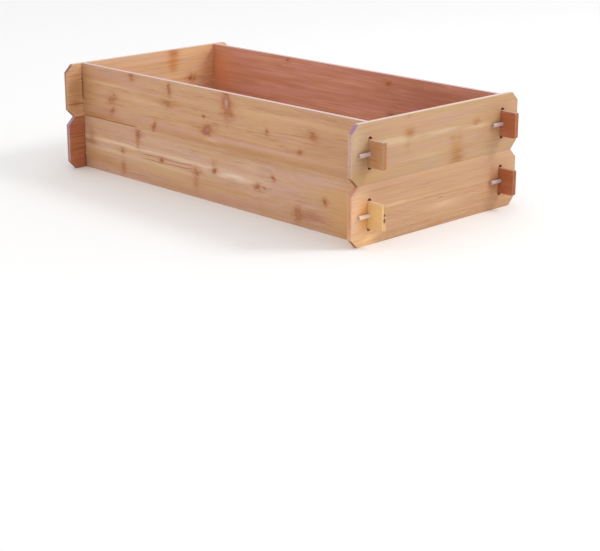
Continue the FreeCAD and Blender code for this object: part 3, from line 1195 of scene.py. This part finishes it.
# Each board is its own cut of cedar: its colours, where it lay in the log, and its marks.
UPPER_FRONT = Timber(
    name="planed_cedar_upper_front",
    along=Along.X,
    early="#CEA27C",
    late="#A8713F",
    drift="#CA9880",
    glow="#D0A478",
    edge="#D8C2C6",
    end="#96602E",
    log_middle=(150.0, 90.0),
    seed=11.0,
    knots=(
        Knot(-327, 66, 12, 9, 0.75),
        Knot(-168, 52, 6, 14, 0.8, lean=-0.15),
        Knot(-174, 12, 18, 8, 0.65),
        Knot(-416, -9, 15, 12, 0.65),
        Knot(-428, -13, 6, 6, 0.85),
        Knot(-408, 2, 6, 4, 0.6),
        Knot(-418, -43, 8, 12, 0.75, lean=0.5),
        Knot(-28, 0, 6, 4, 1.0),
        Knot(-14, -34, 17, 12, 1.0, lean=0.7, pale_heart=0.35),
        Knot(-235, -60, 6, 13, 0.85, lean=0.35),
        Knot(62, 46, 13, 29, 0.9, pale_heart=0.85),
        Knot(80, 22, 11, 13, 0.7),
        Knot(214, -4, 6, 6, 0.75),
        Knot(378, 10, 14, 11, 0.75, lean=-0.3),
        Knot(332, -36, 8, 5, 0.9, lean=0.7),
    ),
    tints=(
        Tint(-550, 0, 70, 90, "#B47F48", 0.5),
        Tint(-420, 29, 110, 4, "#D8B688", 0.6),
        Tint(-470, 40, 100, 5, "#BC8454", 0.6),
        Tint(-400, 55, 130, 14, "#C69480", 0.6),
        Tint(-470, -66, 70, 9, "#B4783E", 0.7),
        Tint(-450, -44, 40, 6, "#A4623C", 0.5),
        Tint(-180, 14, 60, 6, "#B87A44", 0.5),
        Tint(-200, -56, 120, 10, "#C08C76", 0.5),
        Tint(100, -66, 320, 11, "#BC8A54", 0.75),
        Tint(180, 30, 90, 15, "#D0A672", 0.6),
        Tint(-5, -56, 32, 6, "#DCB698", 0.85),
        Tint(0, -50, 420, 7, "#D0A08A", 0.5),
        Tint(-300, 2, 130, 7, "#D8B080", 0.5),
        Tint(300, 40, 220, 5, "#DCB284", 0.6),
        Tint(200, -50, 200, 5, "#D2A48C", 0.6),
        Tint(42, 17, 12, 4, "#B07040", 0.6),
        Tint(64, 46, 16, 27, "#AC6230", 0.9),
        Tint(-21, -38, 11, 8, "#A45A2A", 0.8),
        Tint(430, -10, 80, 60, "#BE8A66", 0.45),
        Tint(588, 0, 36, 60, "#AE7440", 0.75),
    ),
    streaks=(
        Streak(-90, -30, -32, 1.6, 0.6),
        Streak(0, 40, -15, 2.2, 0.5, rise=0.1),
        Streak(220, 375, -2, 1.4, 0.45, rise=0.06),
        # Painted shade in the open seam below this board, at the left
        Streak(-560, -300, -72, 2.4, 0.75, sway=0.0),
        Streak(120, 470, -12, 1.4, 0.3, rise=0.02, sway=3.0),
    ),
)
LOWER_FRONT = Timber(
    name="planed_cedar_lower_front",
    along=Along.X,
    early="#D4AC92",
    late="#A87250",
    drift="#D0A490",
    glow="#CCA272",
    edge="#D8BCB8",
    end="#D2A060",
    log_middle=(-160.0, 80.0),
    seed=23.0,
    knots=(
        Knot(-305, 57, 10, 14, 0.95),
        Knot(-307, 34, 8, 14, 0.45),
        Knot(-376, 1, 9, 6, 0.75),
        Knot(-375, -47, 8, 17, 0.6),
        Knot(-207, 2, 7, 5, 0.95),
        Knot(-62, -6, 13, 9, 0.75),
        Knot(-62, -30, 9, 18, 0.4),
        Knot(14, 11, 9, 7, 1.0, lean=0.6),
        Knot(10, 28, 11, 9, 0.3),
        Knot(236, 31, 6, 6, 0.85, lean=-0.4),
        Knot(176, -1, 11, 7, 0.85),
        Knot(202, -1, 3.5, 3, 0.95),
        Knot(419, 5, 8, 7, 0.9),
        Knot(326, -44, 9, 17, 0.9, pale_heart=0.45),
    ),
    tints=(
        Tint(575, 0, 60, 70, "#ECC07E", 0.95),
        # Painted shade inside the knot holes and the check in the tenon's tip, and the dark rims of the
        # knots round them
        Tint(600, 7.5, 14, 5.0, "#3A1408", 1.0, through=2.6, half_depth=3.4),
        Tint(600, -5.6, 14, 7.5, "#3A1408", 1.0, through=2.2, half_depth=3.8),
        Tint(600, 21.5, 14, 11, "#5A2A12", 1.0, through=3.0, half_depth=1.6),
        Tint(490, -30, 70, 70, "#D2A062", 0.8),
        Tint(-400, 17, 170, 5, "#E8CAA6", 0.85),
        Tint(-430, -9, 120, 5, "#E2C49C", 0.6),
        Tint(-100, 17, 150, 5, "#E2C4A4", 0.75),
        Tint(-180, -14, 120, 5, "#DEBE94", 0.7),
        Tint(90, 9, 90, 8, "#E8D0B8", 0.9),
        Tint(150, 40, 30, 40, "#D8B08E", 0.4),
        Tint(-470, -40, 110, 16, "#BC8448", 0.65),
        Tint(-200, -28, 120, 14, "#CDA474", 0.6),
        Tint(60, -30, 130, 12, "#C8965E", 0.6),
        Tint(0, -60, 500, 14, "#BE8868", 0.45),
        Tint(-430, 45, 100, 18, "#C69478", 0.5),
        Tint(-517, 22, 14, 24, "#A8743E", 0.5),
        Tint(-525, 4, 30, 5, "#A0683A", 0.6),
        Tint(100, 68, 320, 7, "#BC8A5A", 0.7),
        Tint(375, -42, 55, 13, "#A86848", 0.75),
    ),
    streaks=(
        Streak(-300, -66, 7.4, 1.7, 0.7, sway=0.5),
        Streak(-300, -66, -5.8, 1.7, 0.65, rise=0.014, sway=0.5),
        Streak(185, 240, 1, 2.0, 0.5),
        Streak(-480, -250, 28, 1.5, 0.3, rise=-0.02, sway=2.0),
    ),
)
UPPER_RIGHT = Timber(
    name="planed_cedar_upper_right",
    along=Along.Y,
    early="#BE9A78",
    late="#A67A48",
    drift="#C09680",
    glow="#BE9A6C",
    edge="#E2CCC2",
    end="#B4703A",
    corner_cut="#A078A0",
    log_middle=(-130.0, 70.0),
    seed=31.0,
    fibre_length=70.0,
    knots=(Knot(142, 18, 11, 7, 0.5), Knot(-104, 27, 9, 8, 0.4)),
    tints=(
        Tint(-107, 25, 17, 14, "#A06A38", 0.75),
        Tint(-113, 0, 8, 16, "#B08048", 0.5),
        Tint(-110, 69, 9, 5, "#A4684A", 0.5),
        Tint(68, -42, 24, 30, "#B07C40", 0.75),
        Tint(70, -60, 24, 18, "#A06830", 0.7),
        Tint(52, -10, 12, 9, "#AC7C44", 0.5),
        Tint(82, -14, 10, 9, "#AC7C44", 0.5),
        Tint(-120, 13, 60, 8, "#DAC0A0", 0.4),
        Tint(20, 14, 50, 6, "#DEC4A6", 0.45),
        Tint(160, 7, 50, 5, "#E0C8AC", 0.5),
        Tint(-60, -36, 90, 6, "#D4BA94", 0.3),
        Tint(-180, 18, 50, 8, "#D8BC96", 0.6),
        Tint(-292, 22, 24, 40, "#CCB094", 0.7),
        Tint(-240, -55, 90, 18, "#C49A64", 0.7),
        # Painted shadow of the peg and tenon, below the peg and left of the front slot
        Tint(-264, -20, 20, 30, "#9C7448", 0.7),
        Tint(-120, 55, 160, 14, "#CBA07C", 0.5),
        Tint(240, 0, 70, 70, "#B4855A", 0.6),
        Tint(-306, 0, 1.6, 60, "#C4A094", 1.0),
    ),
    streaks=(
        Streak(-200, 40, -38, 1.4, 0.22, rise=0.03, sway=4.0),
        Streak(-180, 90, -52, 1.4, 0.18, rise=0.03, sway=4.0),
        Streak(60, 290, -2, 1.4, 0.18, sway=6.0),
    ),
)
LOWER_RIGHT = Timber(
    name="planed_cedar_lower_right",
    along=Along.Y,
    early="#C89F7C",
    late="#A8724C",
    drift="#C49776",
    glow="#C69B6C",
    edge="#D8A890",
    end="#BC6E34",
    corner_cut="#CC8A70",
    log_middle=(-90.0, 120.0),
    seed=47.0,
    drift_depth=0.35,
    fibre_depth=0.5,
    fibre_length=90.0,
    tints=(
        Tint(-295, -10, 46, 80, "#ECBC96", 0.9),
        # Painted warm light reflected from the golden tenon onto the board left of its slot
        Tint(-262, -2, 15, 32, "#E4A04C", 0.85),
        Tint(-272, -62, 50, 20, "#F6C890", 0.9),
        Tint(20, -24, 60, 8, "#DDB892", 0.6),
        Tint(-150, 10, 60, 4, "#E0BA92", 0.6),
        Tint(240, -40, 70, 50, "#BC8454", 0.5),
        Tint(215, 5, 16, 34, "#A8683E", 0.5),
        Tint(-306, 0, 1.6, 60, "#BC6C30", 1.0),
    ),
    streaks=(
        Streak(-190, 190, 6, 1.6, 0.32, rise=-0.01, sway=6.0),
        Streak(-190, 60, -2, 1.4, 0.22, rise=0.02, sway=6.0),
        Streak(-60, 200, -12, 1.4, 0.2, sway=8.0),
        Streak(0, 24, -3, 2.0, 0.5, sway=0.0),
    ),
)
UPPER_LEFT = Timber(
    name="planed_cedar_upper_left",
    along=Along.Y,
    early="#E6BC96",
    late="#BA8252",
    drift="#DCAC8E",
    glow="#E2B67C",
    edge="#DCC4C0",
    end="#7E5244",
    corner_cut="#94625E",
    log_middle=(120.0, 90.0),
    seed=53.0,
    fibre_depth=0.6,
    fibre_length=70.0,
    knots=(Knot(147, -17, 14, 9, 1.0), Knot(83, 69, 12, 8, 0.5, pale_heart=1.0)),
    tints=(
        Tint(80, 50, 20, 24, "#C87C30", 0.95),
        Tint(78, 22, 13, 14, "#CC8A44", 0.6),
        # Painted shade in the corner by the back board
        Tint(245, -20, 60, 90, "#C07C56", 0.75),
        Tint(-30, 50, 120, 6, "#E2BC94", 0.7),
        # Painted shade on the front ear, beside the front board, where that board blocks the light
        Tint(-280, 0, 40, 90, "#B47E4C", 0.85),
        Tint(-285, 15, 20, 8, "#B88A6A", 0.9),
        Tint(-275, -38, 26, 6, "#94582A", 0.7),
        # Painted shadow: a dark line on the ear in the gap beside the front board's shoulder, on one face
        # only
        Tint(-253, 20, 2.2, 60, "#7A3E1C", 0.9, through=6.0, half_depth=4.0),
    ),
)
LOWER_LEFT = Timber(
    name="planed_cedar_lower_left",
    along=Along.Y,
    early="#BE784C",
    late="#80421F",
    drift="#B2644A",
    glow="#A8683C",
    edge="#C49CB4",
    end="#A08090",
    corner_cut="#B08CB4",
    log_middle=(90.0, 60.0),
    seed=61.0,
    band_depth=0.9,
    knots=(Knot(40, 12, 12, 10, 0.8), Knot(-150, -30, 9, 12, 0.7)),
    # Painted shadow: a dark line on the ear in the gap beside the front board's shoulder, on one face only
    tints=(Tint(-252, -40, 3, 40, "#5A2A14", 0.6, through=6.0, half_depth=4.0),),
)
UPPER_BACK = Timber(
    name="planed_cedar_upper_back",
    along=Along.X,
    early="#DC9A82",
    late="#A05A3C",
    drift="#D08E80",
    glow="#C27E56",
    edge="#D8C0C2",
    end="#96502C",
    log_middle=(140.0, 60.0),
    seed=71.0,
    ring_depth=0.18,
    fibre_depth=0.5,
    fibre_length=80.0,
    knots=(Knot(-223, 66, 6, 5, 0.9), Knot(172, 49, 11, 6, 1.0)),
    tints=(
        Tint(-520, -10, 60, 80, "#DC9062", 0.8),
        Tint(330, 20, 180, 60, "#A45C44", 0.6),
        Tint(190, -34, 26, 8, "#7C3C3C", 0.6),
        Tint(590, 0, 66, 70, "#A65A2E", 0.9),
    ),
)
LOWER_BACK = Timber(
    name="planed_cedar_lower_back",
    along=Along.X,
    early="#C07C5A",
    late="#8E4826",
    drift="#B47058",
    glow="#B46E44",
    edge="#D0AC9E",
    end="#8A4420",
    log_middle=(-150.0, 70.0),
    seed=83.0,
    ring_depth=0.18,
    knots=(
        Knot(-330, 20, 10, 9, 0.8),
        Knot(60, -24, 8, 12, 0.8),
        Knot(390, 30, 12, 10, 0.7),
        Knot(606, 2, 7, 3.5, 0.9),
    ),
    tints=(Tint(560, 0, 60, 60, "#A0542C", 0.8),),
)
# The finish of each board's node
CEDAR = {
    "upper_front_board": UPPER_FRONT,
    "lower_front_board": LOWER_FRONT,
    "upper_back_board": UPPER_BACK,
    "lower_back_board": LOWER_BACK,
    "upper_right_end_board": UPPER_RIGHT,
    "lower_right_end_board": LOWER_RIGHT,
    "upper_left_end_board": UPPER_LEFT,
    "lower_left_end_board": LOWER_LEFT,
}


class Dowel(Enum):
    """The two lots of dowel that the pegs were cut from: light wood, and ring lines."""

    FRESH = ("#E8D2C0", "#C8A890")
    WEATHERED = ("#C0A6A8", "#9C7E80")


def peg_finish(dowel: Dowel) -> Timber:
    """Give the finish of a lot of pegs: pale birch, turned smooth, so fine-grained and slightly glossier."""
    early, late = dowel.value
    return Timber(
        name=f"turned_birch_{dowel.name.lower()}",
        along=Along.Y,
        early=early,
        late=late,
        drift=early,
        glow=early,
        edge=early,
        end="#B89886",
        log_middle=(3.0, 20.0),
        ring_gap=2.5,
        ring_depth=0.3,
        band_depth=0.3,
        fibre_gap=0.7,
        edge_share=0.0,
        roughness=0.55,
        seed=5.0,
    )


def main() -> None:
    """Build the garden bed round the frame."""
    logging.basicConfig(level=logging.INFO, format="%(name)s: %(message)s")
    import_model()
    groups = Groups()
    for course in Course:
        for side in ("front", "back"):
            lower_front = (course, side) == (Course.LOWER, "front")
            pegs = peg_finish(Dowel.FRESH if lower_front else Dowel.WEATHERED)
            checks = KNOT_HOLES if lower_front else ()
            SideBoard(course, side, CEDAR[f"{course.label}_{side}_board"], checks=checks).build(groups)
            for end in ("left", "right"):
                Peg(course, side, end, pegs).build(groups)
        for end in ("left", "right"):
            EndBoard(course, end, CEDAR[f"{course.label}_{end}_end_board"]).build(groups)
    Studio().build()
    bpy.context.scene.view_settings.view_transform = "Standard"


if __name__ == "__main__":
    main()
